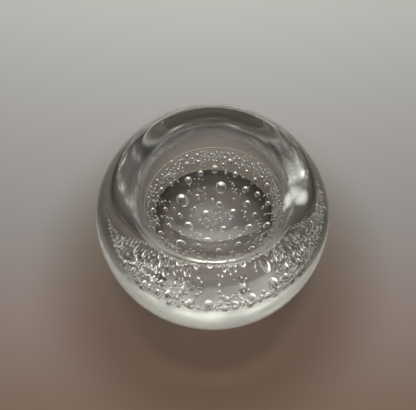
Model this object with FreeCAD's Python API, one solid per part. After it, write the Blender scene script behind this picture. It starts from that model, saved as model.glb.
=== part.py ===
"""Clear glass paperweight: a ball-shaped bowl with a bowl-shaped layer of trapped air bubbles.

Every length is in millimetres and every angle in degrees unless its name says otherwise. The
origin is at the middle of the flat base, +Z is up and -Y is the front. The glass was gathered in
three layers, which are three nodes here, and the air in the bubbles fills round voids in the
middle layer.
"""
import FreeCAD, Part
import math
import os
import random

# ---------------------------------------------------------------- driving dimensions
BALL_RADIUS = 50.0            # the outer wall is part of this ball
BALL_CENTRE_Z = 31.0          # height of the ball's centre over the flat base
SHOULDER_RADIUS = 30.0        # the wall turns in to the rim on this arc
LIP_RADIUS = 7.0              # the fat round rim
LIP_CORE_R = 38.0             # centre of the rim's round section, from the axis
LIP_CORE_Z = 46.2             # and over the base
HOLLOW_FLOOR_Z = 34.5         # lowest point of the round hollow
HOLLOW_FLAT_RADIUS = 1.0      # tiny flat at the bottom of the hollow
BASE_BEVEL_Z = 0.5            # height of the ground bevel round the base
BASE_BEVEL_WIDTH = 0.6

# The rim was shaped by hand: (lobes, size, azimuth of the first lobe)
RIM_SWELL = [(2, 0.15, 17.0), (3, 0.45, 92.0)]
RIM_LIFT = [(1, 0.5, 180.0), (2, 0.2, 55.0)]
WAVE_START_Z = 25.0           # the hand shaping fades in from here up to the rim
WAVE_START_R = 18.0           # and in the hollow from here out to the rim
WAVE_FULL_R = 36.0

# Bubble layer: half an ellipse turned round the axis, thinner towards its edge
LAYER_EDGE_R = 36.4
LAYER_EDGE_Z = 29.0
LAYER_FLOOR_Z = 20.0
LAYER_FLOOR_THICKNESS = 9.6
LAYER_EDGE_THICKNESS = 3.4
LAYER_SHIFT_X = 1.2           # the layer lies a little off the ball's axis
LAYER_SHIFT_Y = -1.0
GATHER_TOP_R = 32.4           # the first gather ends inside the rim, here
GATHER_TOP_Z = 58.0           # its parting line runs on to this height, over the glass

# Sections of the hand-shaped surface
SECTIONS = 36                 # profiles round the axis
PITCH = 2.4                   # spacing of the points along a profile
POLE_PASSES = 60              # passes that settle the poles of the closed splines
FLAT_TOLERANCE = 0.01         # a ring whose height changes by less than this is flat
LAYER_STEPS = 18              # steps along one side of the bubble layer's section

# The twenty largest bubbles: (distance from the layer's axis, azimuth, diameter)
LARGE_BUBBLES = [
    (19.0, 150.0, 7.4),
    (17.5, 80.0, 6.8),
    (25.0, 225.0, 6.2),
    (14.0, 200.0, 5.6),
    (5.0, 150.0, 5.2),
    (14.0, 255.0, 4.8),
    (9.5, 20.0, 4.6),
    (27.0, 90.0, 4.6),
    (24.5, 123.0, 4.4),
    (27.5, 345.0, 4.3),
    (18.0, 25.0, 4.2),
    (7.5, 305.0, 4.2),
    (18.5, 340.0, 4.0),
    (30.0, 310.0, 4.0),
    (8.5, 75.0, 3.8),
    (21.5, 275.0, 3.8),
    (22.0, 45.0, 3.8),
    (21.0, 305.0, 3.8),
    (31.0, 205.0, 3.7),
    (31.5, 265.0, 3.6),
]
BUBBLE_SKIN = 0.3             # least glass between two bubbles, or over a bubble
BUBBLE_SEED = 41
CANDIDATES = 14               # places tried for one bubble, of which the roomiest is kept

# The chain of beads along the layer's edge: how many, and the least and greatest diameter and angle
EDGE_BEADS = 168
EDGE_BEAD_DIAMETERS = (0.75, 1.0)
EDGE_BEAD_ANGLES = (86.0, 89.5)

# Bubbles placed by chance: node, how many, smallest and largest diameter, the band of the layer
# that they lie in, as an angle from its floor (0) to its edge (90), and the share of the layer's
# thickness that they keep to
BUBBLE_GROUPS = [
    ("floor_bubbles_medium", 26, 2.5, 3.4, 0.0, 64.0, 0.8),
    ("floor_bubbles_small", 96, 1.0, 2.2, 0.0, 64.0, 1.0),
    ("wall_bubbles", 150, 1.2, 2.3, 54.0, 85.0, 0.5),
]

Vector = FreeCAD.Vector
LAYER_SHIFT = Vector(LAYER_SHIFT_X, LAYER_SHIFT_Y, 0)


def smooth_step(value):
    """0 below 0, 1 above 1, and a smooth rise between."""
    clipped = min(max(value, 0.0), 1.0)
    return clipped * clipped * (3.0 - 2.0 * clipped)


def arc_points(centre_r, centre_z, radius, start, end):
    """Points (r, z) on an arc from angle start to angle end in radians, about PITCH apart."""
    count = max(3, int(math.ceil(radius * abs(end - start) / PITCH)))
    points = []
    for index in range(count + 1):
        angle = start + (end - start) * index / count
        points.append((centre_r + radius * math.cos(angle), centre_z + radius * math.sin(angle)))
    return points


def glass_profile():
    """The glass surface from the bevel to the flat in the hollow, as (r, z) points.

    Four arcs, each tangent to the next: the ball, the shoulder (inside the ball), the rim (inside
    the shoulder), and the hollow, which touches the rim from outside.
    """
    core_r = LIP_CORE_R
    core_z = LIP_CORE_Z - BALL_CENTRE_Z
    core_distance = math.hypot(core_r, core_z)
    inset = BALL_RADIUS - SHOULDER_RADIUS
    reach = SHOULDER_RADIUS - LIP_RADIUS
    cosine = (core_distance ** 2 + inset ** 2 - reach ** 2) / (2.0 * core_distance * inset)
    shoulder_start = math.atan2(core_z, core_r) - math.acos(cosine)
    shoulder_r = inset * math.cos(shoulder_start)
    shoulder_z = inset * math.sin(shoulder_start)
    lip_start = math.atan2(core_z - shoulder_z, core_r - shoulder_r)

    drop = HOLLOW_FLOOR_Z - LIP_CORE_Z
    hollow_radius = (core_r ** 2 + drop ** 2 - LIP_RADIUS ** 2) / (2.0 * (LIP_RADIUS - drop))
    hollow_centre_z = HOLLOW_FLOOR_Z + hollow_radius
    lip_end = math.pi - math.atan2(hollow_centre_z - LIP_CORE_Z, core_r)
    hollow_start = lip_end - math.pi
    hollow_end = -math.pi / 2.0 + math.asin(HOLLOW_FLAT_RADIUS / hollow_radius)

    ball_start = math.asin((BASE_BEVEL_Z - BALL_CENTRE_Z) / BALL_RADIUS)
    ball = arc_points(0.0, BALL_CENTRE_Z, BALL_RADIUS, ball_start, shoulder_start)
    shoulder = arc_points(shoulder_r, BALL_CENTRE_Z + shoulder_z, SHOULDER_RADIUS,
                          shoulder_start, lip_start)
    lip = arc_points(LIP_CORE_R, LIP_CORE_Z, LIP_RADIUS, lip_start, lip_end)
    hollow = arc_points(0.0, hollow_centre_z, hollow_radius, hollow_start, hollow_end)
    return ball + shoulder[1:] + lip[1:] + hollow[1:]


def wave(lobes, azimuth):
    """Sum of cosines round the rim, each (lobes, size, azimuth of the first lobe)."""
    return sum(size * math.cos(count * (azimuth - math.radians(phase))) for count, size, phase in lobes)


def shaped_point(r, z, azimuth):
    """A point of the glass surface, moved as the hand-shaped rim moves it."""
    share = smooth_step((z - WAVE_START_Z) / (LIP_CORE_Z - WAVE_START_Z))
    share *= smooth_step((r - WAVE_START_R) / (WAVE_FULL_R - WAVE_START_R))
    radius = r + share * wave(RIM_SWELL, azimuth)
    height = z + share * wave(RIM_LIFT, azimuth)
    return Vector(radius * math.cos(azimuth), radius * math.sin(azimuth), height)


def periodic_poles(values):
    """Poles of the closed cubic spline that passes through evenly spaced values.

    A closed cubic spline passes through (before + 4 * pole + after) / 6 at each knot, so the poles
    come from repeating pole = (6 * value - before - after) / 4, which settles quickly.
    """
    count = len(values)
    poles = list(values)
    for _ in range(POLE_PASSES):
        poles = [(values[i] * 6.0 - poles[i - 1] - poles[(i + 1) % count]) * 0.25 for i in range(count)]
    return poles


def shaped_surface(profile):
    """One closed spline surface through the profile at every section round the axis."""
    parameters = [0.0]
    for (r0, z0), (r1, z1) in zip(profile, profile[1:]):
        parameters.append(parameters[-1] + math.hypot(r1 - r0, z1 - z0))
    rows = []
    for section in range(SECTIONS):
        azimuth = 2.0 * math.pi * section / SECTIONS
        curve = Part.BSplineCurve()
        curve.interpolate(Points=[shaped_point(r, z, azimuth) for r, z in profile], Parameters=parameters)
        rows.append(curve.getPoles())
        knots, multiplicities, degree = curve.getKnots(), curve.getMultiplicities(), curve.Degree
    columns = [periodic_poles(list(column)) for column in zip(*rows)]
    poles = [list(row) for row in zip(*columns)]
    surface = Part.BSplineSurface()
    surface.buildFromPolesMultsKnots(
        poles,
        [1] * (SECTIONS + 1),
        multiplicities,
        [float(knot) for knot in range(SECTIONS + 1)],
        knots,
        True,
        False,
        3,
        degree,
    )
    return surface


def glass_solid():
    """The whole glass: shaped surface, ground bevel, flat base and the small flat in the hollow."""
    face = shaped_surface(glass_profile()).toShape()
    rings = [edge for edge in face.Edges if edge.isClosed() and edge.BoundBox.ZLength < FLAT_TOLERANCE]
    rings.sort(key=lambda edge: edge.BoundBox.ZMin)
    foot_ring, hollow_ring = rings
    ball_foot_r = math.sqrt(BALL_RADIUS ** 2 - (BALL_CENTRE_Z - BASE_BEVEL_Z) ** 2)
    scale = (ball_foot_r - BASE_BEVEL_WIDTH) / ball_foot_r
    shrink = FreeCAD.Matrix()
    shrink.scale(scale, scale, 1.0)
    shrink.move(Vector(0, 0, -BASE_BEVEL_Z))
    base_ring = foot_ring.transformGeometry(shrink).Edges[0]
    bevel = Part.makeRuledSurface(foot_ring, base_ring)
    base = Part.Face(Part.Wire(base_ring))
    cap = Part.Face(Part.Wire(hollow_ring))
    shell = Part.makeShell([face, bevel, base, cap])
    shell.sewShape()
    solid = Part.Solid(Part.Shell(shell.Faces))
    if solid.Volume < 0:
        solid.reverse()
    return solid


def layer_thickness(angle):
    """Thickness of the bubble layer at an angle from its floor (0) to its edge (90)."""
    share = (angle / 90.0) ** 2
    return LAYER_FLOOR_THICKNESS + (LAYER_EDGE_THICKNESS - LAYER_FLOOR_THICKNESS) * share


def layer_point(angle, offset):
    """Point (r, z) of the bubble layer's middle surface, moved outwards by offset."""
    depth = LAYER_EDGE_Z - LAYER_FLOOR_Z
    sine = math.sin(math.radians(angle))
    cosine = math.cos(math.radians(angle))
    normal_r = depth * sine
    normal_z = -LAYER_EDGE_R * cosine
    length = math.hypot(normal_r, normal_z)
    r = LAYER_EDGE_R * sine + offset * normal_r / length
    z = LAYER_EDGE_Z - depth * cosine + offset * normal_z / length
    return r, z


def layer_curve(side):
    """One side of the layer's section, from the axis to the edge: side is -1 inner, +1 outer."""
    points = []
    for step in range(LAYER_STEPS + 1):
        angle = 90.0 * step / LAYER_STEPS
        r, z = layer_point(angle, side * layer_thickness(angle) / 2.0)
        points.append(Vector(r, 0, z))
    curve = Part.BSplineCurve()
    curve.interpolate(Points=points)
    return curve.toShape()


def turned(edges):
    """Solid made by turning an outline in the XZ plane once round Z, then shifted to the layer."""
    wire = Part.Wire(Part.__sortEdges__(edges))
    solid = Part.Face(wire).revolve(Vector(0, 0, 0), Vector(0, 0, 1), 360.0)
    if solid.Volume < 0:
        solid.reverse()
    solid.translate(LAYER_SHIFT)
    return solid


def line(start, end):
    return Part.LineSegment(start, end).toShape()


def axis_end(layer_side):
    """The end of a layer curve that lies on the axis."""
    return layer_side.Vertexes[0].Point


def layer_edge_arc():
    """Half round that closes the layer at its edge."""
    half = LAYER_EDGE_THICKNESS / 2.0
    inner = Vector(LAYER_EDGE_R - half, 0, LAYER_EDGE_Z)
    crown = Vector(LAYER_EDGE_R, 0, LAYER_EDGE_Z + half)
    outer = Vector(LAYER_EDGE_R + half, 0, LAYER_EDGE_Z)
    return Part.Arc(inner, crown, outer).toShape()


def parting_line():
    """From the layer's inner edge up through the rim: first gather inside, casing outside."""
    start = Vector(LAYER_EDGE_R - LAYER_EDGE_THICKNESS / 2.0, 0, LAYER_EDGE_Z)
    return line(start, Vector(GATHER_TOP_R, 0, GATHER_TOP_Z))


def layer_blank():
    """The bubble layer before its voids."""
    inner = layer_curve(-1)
    outer = layer_curve(1)
    return turned([inner, layer_edge_arc(), outer, line(axis_end(inner), axis_end(outer))])


def gather_tool():
    """Everything over the bubble layer and inside the parting line."""
    inner = layer_curve(-1)
    top = Vector(0, 0, GATHER_TOP_Z)
    edges = [inner, parting_line(), line(Vector(GATHER_TOP_R, 0, GATHER_TOP_Z), top)]
    edges.append(line(top, axis_end(inner)))
    return turned(edges)


def place_bubbles():
    """Centre and radius of every bubble, by node, each inside the layer and clear of the others."""
    chance = random.Random(BUBBLE_SEED)
    placed = []
    groups = {}

    def keep(name, centre, radius):
        placed.append((centre, radius))
        groups.setdefault(name, []).append((centre, radius))

    def gap_round(centre, radius):
        return min((centre - other).Length - other_radius for other, other_radius in placed) - radius

    def centre_at(angle, azimuth, offset):
        r, z = layer_point(angle, offset)
        return LAYER_SHIFT + Vector(r * math.cos(azimuth), r * math.sin(azimuth), z)

    for distance, azimuth, diameter in LARGE_BUBBLES:
        angle = math.degrees(math.asin(distance / LAYER_EDGE_R))
        keep("floor_bubbles_large", centre_at(angle, math.radians(azimuth), 0.0), diameter / 2.0)

    for bead in range(EDGE_BEADS):
        azimuth = 2.0 * math.pi * bead / EDGE_BEADS
        centre = centre_at(chance.uniform(*EDGE_BEAD_ANGLES), azimuth, 0.0)
        keep("edge_beads", centre, chance.uniform(*EDGE_BEAD_DIAMETERS) / 2.0)

    for name, count, smallest, largest, low, high, share in BUBBLE_GROUPS:
        low_area = 1.0 - math.cos(math.radians(low))
        high_area = 1.0 - math.cos(math.radians(high))
        for _ in range(count):
            radius = smallest * (largest / smallest) ** chance.random() / 2.0
            roomiest = None
            widest_gap = BUBBLE_SKIN
            for _ in range(CANDIDATES):
                angle = math.degrees(math.acos(1.0 - chance.uniform(low_area, high_area)))
                room = share * (layer_thickness(angle) / 2.0 - radius - BUBBLE_SKIN)
                centre = centre_at(angle, 2.0 * math.pi * chance.random(), chance.uniform(-room, room))
                gap = gap_round(centre, radius)
                if gap > widest_gap:
                    roomiest = centre
                    widest_gap = gap
            if roomiest is not None:
                keep(name, roomiest, radius)
    return groups


def export(name, shape):
    """Write one node."""
    shape.exportStep("parts/" + name + ".step")
    print(name, "solids", len(shape.Solids), "valid", shape.isValid(), "volume", round(shape.Volume, 2))


def main():
    os.makedirs("parts", exist_ok=True)
    glass = glass_solid()
    blank = layer_blank()
    tool = gather_tool()
    first_gather = glass.common(tool)
    outer_casing = glass.cut(Part.Compound([tool, blank]))
    groups = place_bubbles()
    spheres = {name: [Part.makeSphere(radius, centre) for centre, radius in bubbles]
               for name, bubbles in groups.items()}
    every_sphere = [sphere for group in spheres.values() for sphere in group]
    bubble_layer = blank.cut(Part.Compound(every_sphere))
    export("outer_casing", outer_casing)
    export("bubble_layer", bubble_layer)
    export("first_gather", first_gather)
    for name, group in spheres.items():
        export(name, Part.Compound(group))


main()
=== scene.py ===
# %% [markdown]
# # A bubble-glass paperweight
# The object is a heavy ball of clear glass with a flat ground base, a fat rounded rim and a smooth
# round hollow. Inside it lies a bowl-shaped layer of trapped air bubbles. Everything here is in
# metres in the end, but glass of this size is easier to think about in millimetres, so the shapes
# are worked out in millimetres and scaled once, when a mesh is made.

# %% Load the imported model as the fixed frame
import math

import bpy
import numpy as np
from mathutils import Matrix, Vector


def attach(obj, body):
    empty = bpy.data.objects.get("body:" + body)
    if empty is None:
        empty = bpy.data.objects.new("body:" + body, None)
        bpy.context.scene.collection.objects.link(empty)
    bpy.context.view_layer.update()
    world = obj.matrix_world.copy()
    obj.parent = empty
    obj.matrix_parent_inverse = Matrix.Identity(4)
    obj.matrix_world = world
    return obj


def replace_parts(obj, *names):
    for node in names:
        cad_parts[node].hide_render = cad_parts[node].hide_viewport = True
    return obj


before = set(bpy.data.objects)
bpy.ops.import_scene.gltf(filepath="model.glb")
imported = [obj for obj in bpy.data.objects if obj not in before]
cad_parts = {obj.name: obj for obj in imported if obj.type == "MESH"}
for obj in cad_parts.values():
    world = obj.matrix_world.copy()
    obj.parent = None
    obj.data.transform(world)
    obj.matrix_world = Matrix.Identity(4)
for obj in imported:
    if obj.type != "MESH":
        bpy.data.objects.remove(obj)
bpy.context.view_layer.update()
MM = 0.001

# %% [markdown]
# ## The outline of the glass
# On the real weight the outside is part of a ball, because the hot glass was turned in a round wet
# wooden block. The wall then turns in over a tighter shoulder to a fat fire-polished rim, and the
# hollow was pressed with a round tool. So the outline is four arcs, each tangent to the next. It
# could also be drawn as a spline by eye, but glass magnifies every kink, and arcs have none.

# %% Four tangent arcs, from the ground bevel to the middle of the hollow
BALL_RADIUS = 50.0
BALL_CENTRE_Z = 31.0
SHOULDER_RADIUS = 30.0
LIP_RADIUS = 7.0
LIP_CORE_R = 38.0
LIP_CORE_Z = 46.2
HOLLOW_FLOOR_Z = 34.5
BASE_BEVEL_Z = 0.5
BASE_BEVEL_WIDTH = 0.6
# How far apart the points on each arc are
BALL_PITCH = 0.8
SHOULDER_PITCH = 0.5
LIP_PITCH = 0.3
HOLLOW_PITCH = 0.7


def arc(centre_r, centre_z, radius, start, end, pitch):
    """Points (r, z) = centre + radius * (cos angle, sin angle), about pitch apart."""
    count = max(3, math.ceil(radius * abs(end - start) / pitch))
    angle = np.linspace(start, end, count + 1)
    return np.stack([centre_r + radius * np.cos(angle), centre_z + radius * np.sin(angle)], axis=1)


def glass_outline():
    """The ball, the shoulder inside it, the rim inside that, and the hollow, which touches the rim
    from outside. Circles touch where their centres and the touching point are in line."""
    core_z = LIP_CORE_Z - BALL_CENTRE_Z
    core_distance = math.hypot(LIP_CORE_R, core_z)
    inset = BALL_RADIUS - SHOULDER_RADIUS
    reach = SHOULDER_RADIUS - LIP_RADIUS
    cosine = (core_distance ** 2 + inset ** 2 - reach ** 2) / (2 * core_distance * inset)
    shoulder_start = math.atan2(core_z, LIP_CORE_R) - math.acos(cosine)
    shoulder_r = inset * math.cos(shoulder_start)
    shoulder_z = inset * math.sin(shoulder_start)
    lip_start = math.atan2(core_z - shoulder_z, LIP_CORE_R - shoulder_r)
    drop = HOLLOW_FLOOR_Z - LIP_CORE_Z
    hollow_radius = (LIP_CORE_R ** 2 + drop ** 2 - LIP_RADIUS ** 2) / (2 * (LIP_RADIUS - drop))
    hollow_centre_z = HOLLOW_FLOOR_Z + hollow_radius
    lip_end = math.pi - math.atan2(hollow_centre_z - LIP_CORE_Z, LIP_CORE_R)
    ball_start = math.asin((BASE_BEVEL_Z - BALL_CENTRE_Z) / BALL_RADIUS)
    ball = arc(0, BALL_CENTRE_Z, BALL_RADIUS, ball_start, shoulder_start, BALL_PITCH)
    shoulder = arc(shoulder_r, BALL_CENTRE_Z + shoulder_z, SHOULDER_RADIUS,
                   shoulder_start, lip_start, SHOULDER_PITCH)
    lip = arc(LIP_CORE_R, LIP_CORE_Z, LIP_RADIUS, lip_start, lip_end, LIP_PITCH)
    hollow = arc(0, hollow_centre_z, hollow_radius, lip_end - math.pi, -math.pi / 2, HOLLOW_PITCH)
    return np.concatenate([ball, shoulder[1:], lip[1:], hollow[1:-1]])


outline = glass_outline()
print("outline points:", len(outline), "top of the rim at", round(outline[:, 1].max(), 2), "mm")

# %% [markdown]
# ## The hand-shaped rim
# No two of these rims are alike: the glass is shaped while it turns, so the rim swells a little here
# and is a little lower there. A few cosines round the rim say this well. Their share fades out down
# the wall and into the hollow, so the ball and the floor of the hollow stay round.

# %% Waves round the rim, as (lobes, size in mm, azimuth of the first lobe in degrees)
RIM_SWELL = [(2, 0.15, 17), (3, 0.45, 92)]
RIM_LIFT = [(1, 0.5, 180), (2, 0.2, 55)]
WAVE_START_Z = 25.0
WAVE_START_R = 18.0
WAVE_FULL_R = 36.0


def smooth_step(value):
    """3 v^2 - 2 v^3 for v held between 0 and 1."""
    held = np.clip(value, 0, 1)
    return held * held * (3 - 2 * held)


def wave(lobes, azimuth):
    """Sum of size * cos(lobes * (azimuth - phase))."""
    return sum(size * np.cos(count * (azimuth - math.radians(phase))) for count, size, phase in lobes)


def turned_points(outline_rz, azimuth):
    """Grid of points: each outline point (r, z) at each azimuth, moved by its share of the waves."""
    r = outline_rz[:, :1]
    z = outline_rz[:, 1:]
    share = smooth_step((z - WAVE_START_Z) / (LIP_CORE_Z - WAVE_START_Z))
    share = share * smooth_step((r - WAVE_START_R) / (WAVE_FULL_R - WAVE_START_R))
    radius = r + share * wave(RIM_SWELL, azimuth)
    height = z + share * wave(RIM_LIFT, azimuth)
    return np.stack([radius * np.cos(azimuth), radius * np.sin(azimuth), height], axis=-1)


# %% [markdown]
# ## From a grid to a closed mesh
# Turned glass is rings of points with one point at each end, like lines of latitude and two poles.
# One helper joins such rings into faces, for the body and for every bubble. The faces are made for
# many equal forms at once, because the bubbles differ only in place and size.

# %% A mesh from rings and poles
def ring_faces(rows, columns):
    """Quads between ring i and i + 1, and a fan from each pole. The first pole is the lower one."""
    row, column = np.meshgrid(np.arange(rows - 1), np.arange(columns), indexing="ij")
    after = (column + 1) % columns
    quads = np.stack([row * columns + column, row * columns + after,
                      (row + 1) * columns + after, (row + 1) * columns + column], axis=-1)
    first = np.arange(columns)
    following = (first + 1) % columns
    last = (rows - 1) * columns
    low_pole = np.full(columns, rows * columns)
    low_fan = np.stack([low_pole, following, first], axis=-1)
    high_fan = np.stack([low_pole + 1, last + first, last + following], axis=-1)
    return quads.reshape(-1, 4), np.concatenate([low_fan, high_fan])


def mesh_piece(name, rings, low_poles, high_poles, material):
    """One object of equal closed forms. rings is forms x rows x columns x 3, in millimetres.

    Each form's points are its rings, its lower pole and its upper pole, in that order."""
    forms, rows, columns, _ = rings.shape
    quads, fans = ring_faces(rows, columns)
    form_points = rows * columns + 2
    points = np.concatenate([rings.reshape(forms, -1, 3), low_poles[:, None], high_poles[:, None]], axis=1)
    shift = np.arange(forms)[:, None, None] * form_points
    faces = (quads + shift).reshape(-1, 4).tolist() + (fans + shift).reshape(-1, 3).tolist()
    mesh = bpy.data.meshes.new(name)
    mesh.from_pydata((points.reshape(-1, 3) * MM).tolist(), [], faces)
    mesh.shade_smooth()
    mesh.materials.append(material)
    piece = bpy.data.objects.new(name, mesh)
    bpy.context.scene.collection.objects.link(piece)
    print(name, "forms", forms, "faces", len(faces))
    return piece


# %% [markdown]
# ## Clear glass
# Soda-lime glass bends light by an index of 1.5 and is all but colourless, yet 10 cm of it takes a
# little of the red and blue. That tint belongs in the volume, so that thick places are greener than
# thin ones. Painting it on the surface would be simpler, but it would tint thin and thick glass
# alike. Fire polish is smooth but not perfect: long soft ripples go in the bump, and a faint haze
# of handling goes in the roughness.
#
# The base is the one face without fire polish. It was ground flat, which leaves it milky in the
# middle, and it is rubbed smoother towards its edge. A second material could say that too, but it
# would meet the first in a hard line. So the roughness follows the distance from the middle of the
# base, and all other surfaces lie further out than that reaches.

# %% Helpers for node materials
def new_material(name):
    """An empty node material and its output."""
    material = bpy.data.materials.new(name)
    material.use_nodes = True
    material.node_tree.nodes.clear()
    return material, material.node_tree, material.node_tree.nodes.new("ShaderNodeOutputMaterial")


def worked_out(tree, kind, operation, *inputs):
    """A node that does one sum. Each input is a number, a vector or the output of another node."""
    node = tree.nodes.new(kind)
    node.operation = operation
    for socket, given in zip(node.inputs, inputs):
        if isinstance(given, bpy.types.NodeSocket):
            tree.links.new(given, socket)
        else:
            socket.default_value = given
    return node


def ranged(tree, source, from_low, from_high, to_low, to_high):
    """source moved from one range of numbers to another, held at its ends."""
    node = tree.nodes.new("ShaderNodeMapRange")
    for socket, number in zip(("From Min", "From Max", "To Min", "To Max"),
                              (from_low, from_high, to_low, to_high)):
        node.inputs[socket].default_value = number
    tree.links.new(source, node.inputs["Value"])
    return node.outputs["Result"]


def own_place(tree):
    """The point's own place on the piece, in metres from the middle of the base."""
    return tree.nodes.new("ShaderNodeTexCoord").outputs["Object"]


def noise(tree, scale, detail):
    """Noise on the piece's own place in space, in features per metre."""
    pattern = tree.nodes.new("ShaderNodeTexNoise")
    pattern.inputs["Scale"].default_value = scale
    pattern.inputs["Detail"].default_value = detail
    tree.links.new(own_place(tree), pattern.inputs["Vector"])
    return pattern.outputs["Fac"]


# %% The glass
GLASS_IOR = 1.5
GLASS_TINT = (0.84, 0.92, 0.86, 1)
TINT_DENSITY = 2.5
# Each pattern is (features per metre, levels of detail)
HAZE_PATTERN = (60, 3)
RIPPLE_PATTERN = (90, 1)
# (noise where it starts, noise where it is full, least roughness, most roughness)
HAZE_RANGE = (0.35, 0.75, 0.0, 0.012)
RIPPLE_HEIGHT = 0.00001
RIPPLE_STRENGTH = 0.5
# Roughness added to the base, as (radius in mm where it starts to fade, where it is gone, amount)
BASE_FINISH = [(12, 27, 0.11), (28, 32, 0.09)]


def clear_glass():
    """Transmission with roughness = haze + the base's finish, a rippled normal and a tinted volume."""
    material, tree, output = new_material("clear_glass")
    shader = tree.nodes.new("ShaderNodeBsdfPrincipled")
    shader.inputs["Base Color"].default_value = (1, 1, 1, 1)
    shader.inputs["Transmission Weight"].default_value = 1
    shader.inputs["IOR"].default_value = GLASS_IOR
    roughness = ranged(tree, noise(tree, *HAZE_PATTERN), *HAZE_RANGE)
    from_middle = worked_out(tree, "ShaderNodeVectorMath", "LENGTH", own_place(tree)).outputs["Value"]
    for fade_start, fade_end, amount in BASE_FINISH:
        ground = ranged(tree, from_middle, fade_start * MM, fade_end * MM, amount, 0)
        roughness = worked_out(tree, "ShaderNodeMath", "ADD", roughness, ground).outputs["Value"]
    tree.links.new(roughness, shader.inputs["Roughness"])
    ripple = tree.nodes.new("ShaderNodeBump")
    ripple.inputs["Distance"].default_value = RIPPLE_HEIGHT
    ripple.inputs["Strength"].default_value = RIPPLE_STRENGTH
    tree.links.new(noise(tree, *RIPPLE_PATTERN), ripple.inputs["Height"])
    tree.links.new(ripple.outputs["Normal"], shader.inputs["Normal"])
    tint = tree.nodes.new("ShaderNodeVolumeAbsorption")
    tint.inputs["Color"].default_value = GLASS_TINT
    tint.inputs["Density"].default_value = TINT_DENSITY
    tree.links.new(shader.outputs["BSDF"], output.inputs["Surface"])
    tree.links.new(tint.outputs["Volume"], output.inputs["Volume"])
    return material


glass_material = clear_glass()
print("glass: index", GLASS_IOR, "tint", GLASS_TINT[:3], "density", TINT_DENSITY, "per metre")

# %% [markdown]
# ## The glass body
# The weight was gathered in three layers, which are three parts in the CAD. Hot glass fuses without
# a seam, so nothing shows between them, and one skin stands for all three. A narrow ground bevel
# runs round the base. Rings set close together on both sides of its edges keep them crisp.

# %% One skin for the three fused layers
AZIMUTHS = 336
EDGE_GAP = 0.02
BASE_RING_SHARES = (0.25, 0.5, 0.75)

azimuth = np.linspace(0, 2 * math.pi, AZIMUTHS, endpoint=False)[None, :]
foot_r, foot_z = outline[0]
foot_inner_r = foot_r - BASE_BEVEL_WIDTH
base_rings = [(foot_inner_r * share, 0) for share in BASE_RING_SHARES]
base_rings += [(foot_inner_r - EDGE_GAP, 0), (foot_inner_r, 0), (foot_inner_r + EDGE_GAP, EDGE_GAP)]
base_rings += [(foot_r - EDGE_GAP, foot_z - EDGE_GAP)]
skin = turned_points(np.concatenate([np.array(base_rings), outline]), azimuth)
glass_body = mesh_piece("glass_body", skin[None], np.array([[0.0, 0.0, 0.0]]),
                        np.array([[0.0, 0.0, HOLLOW_FLOOR_Z]]), glass_material)
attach(glass_body, "root")
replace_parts(glass_body, "outer_casing", "bubble_layer", "first_gather")

# %% [markdown]
# ## Air in glass
# A bubble is not a thing but a hole, and light meets it from the glass side. So its shader is glass
# turned about: the index is one over that of the glass. Each bubble is a closed skin with its faces
# outwards. A sphere of clear glass would look wrong, because it would gather light where a real
# bubble spreads it and throws it back at its rim.

# %% The inside face of a bubble
AIR_HAZE_PATTERN = (400, 2)
AIR_HAZE_RANGE = (0.4, 0.8, 0.0, 0.01)


def trapped_air():
    """Glass shader with index 1 / GLASS_IOR and a trace of haze from noise."""
    material, tree, output = new_material("trapped_air")
    shader = tree.nodes.new("ShaderNodeBsdfGlass")
    shader.inputs["IOR"].default_value = 1 / GLASS_IOR
    haze = ranged(tree, noise(tree, *AIR_HAZE_PATTERN), *AIR_HAZE_RANGE)
    tree.links.new(haze, shader.inputs["Roughness"])
    tree.links.new(shader.outputs["BSDF"], output.inputs["Surface"])
    return material


air_material = trapped_air()
print("air: index", round(1 / GLASS_IOR, 3))

# %% [markdown]
# ## Where the bubbles are
# The bubbles lie where chance left them in the glass, and the CAD settles those places: each group
# of bubbles is one part of many closed forms. The places could be typed in again here, but then the
# two models could drift apart. So each form is found in the part's mesh, and a sphere is fitted to
# its points, which gives the bubble's middle and size however coarse its facets are.

# %% One sphere for each closed form in a CAD part
SAME_PLACE_DIGITS = 4


def form_spheres(node):
    """Centres and radii of the separate closed forms of a CAD node.

    Points at the same place are one point. The lowest point number then spreads along the
    triangles until each form has one number. A sphere x.x = 2 c.x + k is fitted to each form by
    least squares, with radius^2 = k + c.c."""
    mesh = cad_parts[node].data
    mesh.calc_loop_triangles()
    points = np.empty(len(mesh.vertices) * 3)
    mesh.vertices.foreach_get("co", points)
    corners = np.empty(len(mesh.loop_triangles) * 3, np.int64)
    mesh.loop_triangles.foreach_get("vertices", corners)
    rounded = np.round(points.reshape(-1, 3) / MM, SAME_PLACE_DIGITS)
    places, same = np.unique(rounded, axis=0, return_inverse=True)
    triangles = same.ravel()[corners].reshape(-1, 3)
    label = np.arange(len(places))
    while True:
        lowest = label[triangles].min(axis=1)
        spread = label.copy()
        np.minimum.at(spread, triangles.ravel(), np.repeat(lowest, 3))
        if np.array_equal(spread, label):
            break
        label = spread
    centres, radii = [], []
    for form in np.unique(label):
        own = places[label == form]
        terms = np.column_stack([2 * own, np.ones(len(own))])
        answer = np.linalg.lstsq(terms, (own ** 2).sum(axis=1), rcond=None)[0]
        centres.append(answer[:3])
        radii.append(math.sqrt(answer[3] + answer[:3] @ answer[:3]))
    print(node, "forms", len(radii), "diameters", round(2 * min(radii), 2), "to", round(2 * max(radii), 2))
    return np.array(centres), np.array(radii)


# %% [markdown]
# ## Making the bubbles
# Bubbles in stiff glass are nearly round, but each is pressed a little as the glass is shaped. A
# grid of latitude and longitude, made a few percent shorter along an axis of its own, gives that.
# Big bubbles show their outline and get fine grids. The small ones are there by the hundred, each
# too small for its outline to show, so a few dozen faces with smooth shading are enough.

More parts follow.
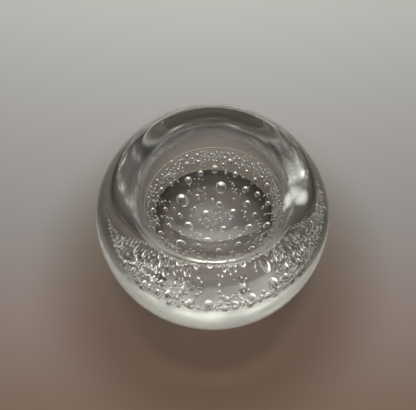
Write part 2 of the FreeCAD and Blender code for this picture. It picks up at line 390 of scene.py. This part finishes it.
# %% Rings of a slightly pressed sphere, for many bubbles at once
# How much longer a bubble may be along its own axis, as a share of its radius: below 0 is shorter
STRETCH_RANGE = (-0.07, 0.0)


def bubble_rings(centres, radii, rows, columns, seed):
    """centre + radius * u, for each u = (cos a cos b, cos a sin b, sin a) on the unit sphere.

    u is first stretched by s along one chance axis n, which is u + s (u.n) n."""
    chance = np.random.default_rng(seed)
    latitude = (np.arange(1, rows + 1) / (rows + 1) - 0.5) * math.pi
    longitude = np.arange(columns) * 2 * math.pi / columns
    unit = np.stack([np.cos(latitude)[:, None] * np.cos(longitude),
                     np.cos(latitude)[:, None] * np.sin(longitude),
                     np.sin(latitude)[:, None] + 0 * longitude], axis=-1).reshape(-1, 3)
    unit = np.concatenate([unit, [[0, 0, -1], [0, 0, 1]]])
    axis = chance.normal(size=(len(radii), 3))
    axis /= np.linalg.norm(axis, axis=1, keepdims=True)
    stretch = chance.uniform(*STRETCH_RANGE, len(radii))
    along = axis @ unit.T
    pressed = unit[None] + (stretch[:, None] * along)[..., None] * axis[:, None]
    points = centres[:, None] + radii[:, None, None] * pressed
    rings = points[:, :-2].reshape(len(radii), rows, columns, 3)
    return rings, points[:, -2], points[:, -1]


def bubble_piece(name, centres, radii, rows, columns, seed):
    """One piece of air: a pressed sphere of rows x columns points, and two poles, at each centre."""
    rings, low_poles, high_poles = bubble_rings(centres, radii, rows, columns, seed)
    piece = mesh_piece(name, rings, low_poles, high_poles, air_material)
    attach(piece, "root")
    return piece


# %% The bubbles of the five CAD parts, from the floor of the layer to its edge
BUBBLE_GRIDS = [("floor_bubbles_large", 31, 48), ("floor_bubbles_medium", 19, 28),
                ("floor_bubbles_small", 9, 14), ("wall_bubbles", 7, 10), ("edge_beads", 5, 8)]
found_spheres = []
for seed, (node, rows, columns) in enumerate(BUBBLE_GRIDS):
    centres, radii = form_spheres(node)
    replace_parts(bubble_piece("air_" + node, centres, radii, rows, columns, seed), node)
    found_spheres.append((centres, radii))

# %% [markdown]
# ## Seed
# Between the bubbles that one can count hangs a fine dust of air, which glassmakers call seed. It is
# too small to be worth a solid in the CAD. Strewn evenly it would fill the glass like snow. So each
# speck lies somewhere between a bubble and one of that bubble's near neighbours, a little off the
# line, and the dust follows the layer and is thick where the bubbles are close.

# %% Specks of air between neighbouring bubbles
SEED_TRIES = 3600
SEED_NEIGHBOURS = 12
SEED_SHARES = (0.2, 0.8)
SEED_DRIFT = 0.35
SEED_DIAMETERS = (0.5, 1.3)
SEED_CLEARANCE = 0.1
SEED_GRID = (4, 7)
FLOOR_SHARE = 0.12
FLOOR_GROUPS = 3
PLACES_CHANCE = 11
SHAPES_CHANCE = 12


def seed_places(centres, radii, floor_count, bead_count, seed):
    """a + t (b - a) + drift, where b is one of the nearest bubbles to a; specks that touch air go.

    The first floor_count bubbles are those of the layer's floor, where there is less seed, and the
    last bead_count are the chain along its edge, which stays clear of it."""
    chance = np.random.default_rng(seed)
    usable = centres[:len(centres) - bead_count]
    apart = np.linalg.norm(usable[:, None] - usable[None], axis=2)
    nearest = np.argsort(apart, axis=1)[:, 1:SEED_NEIGHBOURS + 1]
    first = chance.integers(0, len(usable), SEED_TRIES)
    first = first[(first >= floor_count) | (chance.uniform(0, 1, SEED_TRIES) < FLOOR_SHARE)]
    second = nearest[first, chance.integers(0, SEED_NEIGHBOURS, len(first))]
    share = chance.uniform(*SEED_SHARES, (len(first), 1))
    places = centres[first] + share * (centres[second] - centres[first])
    places += chance.normal(0, SEED_DRIFT, places.shape)
    smallest, largest = SEED_DIAMETERS
    sizes = smallest * (largest / smallest) ** chance.uniform(0, 1, len(first)) / 2
    gaps = np.linalg.norm(places[:, None] - centres[None], axis=2) - radii[None] - sizes[:, None]
    clear = gaps.min(axis=1) > SEED_CLEARANCE
    return places[clear], sizes[clear]


all_centres = np.concatenate([centres for centres, _ in found_spheres])
all_radii = np.concatenate([radii for _, radii in found_spheres])
floor_count = sum(len(radii) for _, radii in found_spheres[:FLOOR_GROUPS])
bead_count = len(found_spheres[-1][1])
speck_places, speck_radii = seed_places(all_centres, all_radii, floor_count, bead_count, PLACES_CHANCE)
bubble_piece("air_seed", speck_places, speck_radii, *SEED_GRID, SHAPES_CHANCE)

# %% [markdown]
# ## The table
# The weight stands on a smooth table with a soft gloss. It is not part of the object, but clear
# glass shows it everywhere, so its tones matter. Its colour is brown round the weight and paler
# towards the window and towards the near edge, which a ramp on the distance behind the weight
# gives; the paling towards the window is painted window light. Thick glass also leaves a soft
# shade round its foot. This scene's wide light makes that shade too weak, so a painted shade, a
# second ramp on the distance from the foot that darkens the table's colour, deepens it.
#
# A hair's breadth of air stays between glass and table, as in life: without it no light would be
# thrown back inside the base, and that is what makes the foot of the weight shine.

# %% Tones of the table, with painted window light and a painted shade
FLOOR_GAP = 0.2
FLOOR_HALF = 3000.0
TABLE_METALLIC = 0.75
TABLE_ROUGHNESS = 0.32
# Colours along the table from front to back, as (distance behind the middle in mm, colour). The
# paler colours behind the weight are painted window light.
TABLE_TONES_AND_WINDOW_LIGHT = [(-280, (0.68, 0.66, 0.64, 1)), (-140, (0.38, 0.29, 0.24, 1)),
               (-75, (0.36, 0.27, 0.22, 1)), (-38, (0.44, 0.35, 0.34, 1)), (12, (0.48, 0.47, 0.49, 1)),
               (140, (0.75, 0.77, 0.80, 1))]
# A painted shade round the foot, darkening the table's colour, as (distance from its middle in mm,
# share of the colour left)
SHADE = [(16, 1.0), (32, 0.62), (50, 0.62), (90, 1.0)]
SHADE_MIDDLE = (0, -12, 0)
# Red, green and blue each keep share ** power, so the painted shade is warm
SHADE_POWERS = (1, 1.25, 1.6)


def colours_along(tree, source, start, end, interpolation, stops):
    """Colour by a distance in metres, from stops of (mm, colour) on a ramp from start to end."""
    ramp = tree.nodes.new("ShaderNodeValToRGB")
    tree.links.new(ranged(tree, source, start * MM, end * MM, 0, 1), ramp.inputs["Fac"])
    ramp.color_ramp.interpolation = interpolation
    # A new ramp has two stops, so two fewer are added
    for _ in stops[2:]:
        ramp.color_ramp.elements.new(0.5)
    for stop, (distance, colour) in zip(ramp.color_ramp.elements, stops):
        stop.position = (distance - start) / (end - start)
        stop.color = colour
    return ramp.outputs["Color"]


def table_material():
    """A satin metallic coat of colour = tone with painted window light by distance behind * painted shade by
    distance from the foot.
    """
    material, tree, output = new_material("table_top")
    shader = tree.nodes.new("ShaderNodeBsdfPrincipled")
    shader.inputs["Metallic"].default_value = TABLE_METALLIC
    shader.inputs["Roughness"].default_value = TABLE_ROUGHNESS
    split = tree.nodes.new("ShaderNodeSeparateXYZ")
    tree.links.new(own_place(tree), split.inputs[0])
    # Paler behind the weight: painted window light in the table's colour
    tone_and_window_light = colours_along(tree, split.outputs["Y"], TABLE_TONES_AND_WINDOW_LIGHT[0][0], TABLE_TONES_AND_WINDOW_LIGHT[-1][0],
                         "LINEAR", TABLE_TONES_AND_WINDOW_LIGHT)
    # Painted shade: the table's colour darkened round the foot
    foot_middle = [v * MM for v in SHADE_MIDDLE]
    from_foot = worked_out(tree, "ShaderNodeVectorMath", "DISTANCE", own_place(tree), foot_middle)
    shade_stops = [(distance, (*(share ** power for power in SHADE_POWERS), 1)) for distance, share in SHADE]
    shade = colours_along(tree, from_foot.outputs["Value"], 0, SHADE[-1][0], "EASE", shade_stops)
    shaded = worked_out(tree, "ShaderNodeVectorMath", "MULTIPLY", tone_and_window_light, shade)
    tree.links.new(shaded.outputs["Vector"], shader.inputs["Base Color"])
    tree.links.new(shader.outputs["BSDF"], output.inputs["Surface"])
    return material


# %% Table
floor_mesh = bpy.data.meshes.new("table_top")
floor_corners = np.array([[-1, -1], [1, -1], [1, 1], [-1, 1]]) * FLOOR_HALF
floor_points = np.column_stack([floor_corners, np.full(4, -FLOOR_GAP)]) * MM
floor_mesh.from_pydata(floor_points.tolist(), [], [(0, 1, 2, 3)])
floor_mesh.materials.append(table_material())
table_top = bpy.data.objects.new("table_top", floor_mesh)
bpy.context.scene.collection.objects.link(table_top)
print("table", FLOOR_GAP, "mm below the base, tones at", [place for place, _ in TABLE_TONES_AND_WINDOW_LIGHT], "mm")

# %% [markdown]
# ## Light
# Glass has no look of its own: it shows its surroundings, bent. Here a bright window stands low
# behind the weight with a dimmer glow above it, the ceiling is pale, and a small patch of light on
# the left puts a spark on the rim. The rest of the room is dim and warm, and darker low down. A pale
# screen goes all round at the height of the table, so that a view from the side has a quiet ground.
# This gives a bright foot, dark bands in the rim, and a bright upper edge on each bubble. Lamps and
# cards could do it too, but their hard edges would show in the glass. Soft lobes of light in the
# world have none.

# %% The room's tones and lights. A height is the sine of the elevation
ROOM_LOW = (0.030, 0.024, 0.020)
ROOM_HIGH = (0.115, 0.105, 0.095)
# Heights between which the room goes from its low tone to its high one
ROOM_STEP = (0.48, 0.64)
SCREEN = (0.33, 0.32, 0.30)
# Heights where the screen starts to show and where it is full, from above downwards
SCREEN_EDGE = (0.24, 0.12)
# The shape of a light is (azimuth, elevation, inner angle, outer angle, sideways share), in
# degrees. Azimuth 0 is behind the weight and -90 on its left. Between the inner and the outer
# angle the light fades out, and a sideways share under 1 makes it wider than high.
CEILING = (0.40, 0.37, 0.345)
CEILING_SHAPE = (0, 90, 0, 54, 1)
WINDOW = (2.8, 2.78, 2.5)
WINDOW_SHAPE = (0, 17, 6, 20, 0.45)
GLOW = (0.36, 0.36, 0.32)
GLOW_SHAPE = (0, 42, 5, 45, 0.6)
SIDE_PATCH = (0.75, 0.75, 0.68)
SIDE_PATCH_SHAPE = (-98, 39, 2, 6, 1)


# %% Helpers for light that depends on its direction
def stepped(tree, source, low, high):
    """0 at low, 1 at high and a smooth step between."""
    share = tree.nodes.new("ShaderNodeMapRange")
    share.interpolation_type = "SMOOTHSTEP"
    share.inputs["From Min"].default_value = low
    share.inputs["From Max"].default_value = high
    tree.links.new(source, share.inputs["Value"])
    return share.outputs["Result"]


def lobe(tree, direction, azimuth, elevation, inner, outer, sideways):
    """1 towards one direction and 0 past the outer angle from it, with a smooth fall between.

    The dot product of two unit directions is the cosine of the angle between them. With their
    sideways parts shortened first, the light is wider than high."""
    turn = math.radians(azimuth)
    rise = math.radians(elevation)
    aim = (math.sin(turn) * math.cos(rise), math.cos(turn) * math.cos(rise), math.sin(rise))
    shorter = worked_out(tree, "ShaderNodeVectorMath", "MULTIPLY", direction, (sideways, 1, 1))
    unit = worked_out(tree, "ShaderNodeVectorMath", "NORMALIZE", shorter.outputs["Vector"])
    dot = worked_out(tree, "ShaderNodeVectorMath", "DOT_PRODUCT", unit.outputs["Vector"], aim)
    return stepped(tree, dot.outputs["Value"], math.cos(math.radians(outer)), math.cos(math.radians(inner)))


def added(tree, below, colour, share):
    """colour * share + below."""
    return worked_out(tree, "ShaderNodeVectorMath", "MULTIPLY_ADD", colour, share, below).outputs["Vector"]


# %% World: a dim warm room with its screen, ceiling and lights
def room_light():
    """Sum of the room's two tones, the ceiling, the screen and each light, by direction."""
    world = bpy.data.worlds.new("room")
    bpy.context.scene.world = world
    world.use_nodes = True
    tree = world.node_tree
    direction = tree.nodes.new("ShaderNodeTexCoord").outputs["Generated"]
    split = tree.nodes.new("ShaderNodeSeparateXYZ")
    tree.links.new(direction, split.inputs[0])
    height = split.outputs["Z"]
    upper = tuple(high - low for high, low in zip(ROOM_HIGH, ROOM_LOW))
    light = added(tree, ROOM_LOW, upper, stepped(tree, height, *ROOM_STEP))
    light = added(tree, light, CEILING, lobe(tree, direction, *CEILING_SHAPE))
    light = added(tree, light, SCREEN, stepped(tree, height, *SCREEN_EDGE))
    for colour, shape in [(WINDOW, WINDOW_SHAPE), (GLOW, GLOW_SHAPE), (SIDE_PATCH, SIDE_PATCH_SHAPE)]:
        light = added(tree, light, colour, lobe(tree, direction, *shape))
    tree.links.new(light, tree.nodes["Background"].inputs["Color"])
    print("room light: nodes", len(tree.nodes))


room_light()

# %% [markdown]
# ## Camera
# The weight is seen from well above, at 62 degrees, from about 35 cm, which is why the rim hides the
# front wall and the floor of the hollow shows whole.

# %% Camera
CAMERA_ELEVATION = 62.0
CAMERA_DISTANCE = 350.0
CAMERA_AIM = (-1.95, 3.06, 32.63)
CAMERA_LENS = 70.0

elevation = math.radians(CAMERA_ELEVATION)
towards_camera = Vector((0, -math.cos(elevation), math.sin(elevation)))
camera_data = bpy.data.cameras.new("camera")
camera_data.lens = CAMERA_LENS
camera = bpy.data.objects.new("camera", camera_data)
camera.location = (Vector(CAMERA_AIM) + towards_camera * CAMERA_DISTANCE) * MM
camera.rotation_euler = towards_camera.to_track_quat("Z", "Y").to_euler()
bpy.context.scene.collection.objects.link(camera)
bpy.context.scene.camera = camera
print("camera at", [round(v, 3) for v in camera.location], "m")

# %% [markdown]
# ## Depth of light paths
# A ray that enters this weight may pass the skin and a dozen bubbles before it leaves again. With
# too few bounces allowed those paths end black, so the limits are raised.

# %% Bounces and plain tones
PATH_DEPTH = 28
settings = bpy.context.scene.cycles
settings.max_bounces = PATH_DEPTH
settings.transmission_bounces = PATH_DEPTH
bpy.context.scene.view_settings.view_transform = "Standard"
print("light paths of up to", PATH_DEPTH, "bounces")
